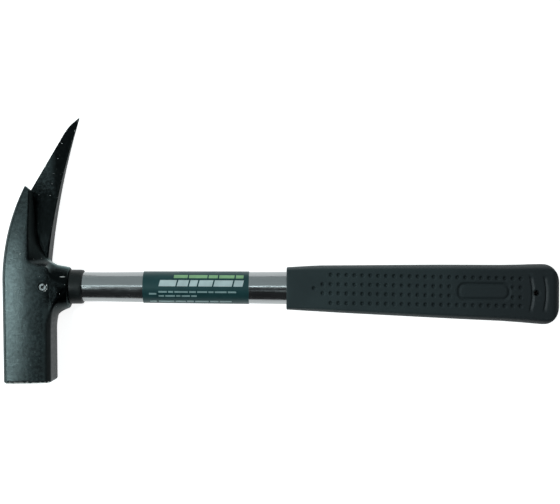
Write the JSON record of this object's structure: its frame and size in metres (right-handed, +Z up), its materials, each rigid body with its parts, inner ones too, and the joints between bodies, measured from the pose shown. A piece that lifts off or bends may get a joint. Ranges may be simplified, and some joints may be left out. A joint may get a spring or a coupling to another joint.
{
  "type": "roofing hammer",
  "caption": "Roofer's claw hammer: square poll, long spike beside a short nail claw, tapered steel tube handle with a moulded grip.",
  "frame": {"origin": "on the surface that the hammer lies on, under the point where the handle axis crosses the centre of the head", "axes": "+X along the handle towards the grip, +Y along the head towards the spike, +Z up through the thickness of the head"},
  "size_m": [0.3356, 0.1616, 0.028],
  "materials": {
    "head_paint": "semi-gloss dark slate paint on forged steel, bare at the striking face and on worn edges",
    "tube_steel": "bright drawn steel tube",
    "pin_steel": "bright spring steel",
    "plug_plastic": "plain black plastic",
    "collar_plastic": "smooth black plastic",
    "label_film": null,
    "grip_rubber": "matt moulded rubber, dimpled"
  },
  "bodies": {
    "root": {"hammer_head": "head_paint", "handle_tube": "tube_steel", "cross_pin": "pin_steel", "eye_plug": "plug_plastic", "head_collar": "collar_plastic", "label": "label_film", "grip": "grip_rubber", "tube_end_plug": "plug_plastic"}
  },
  "joints": []
}
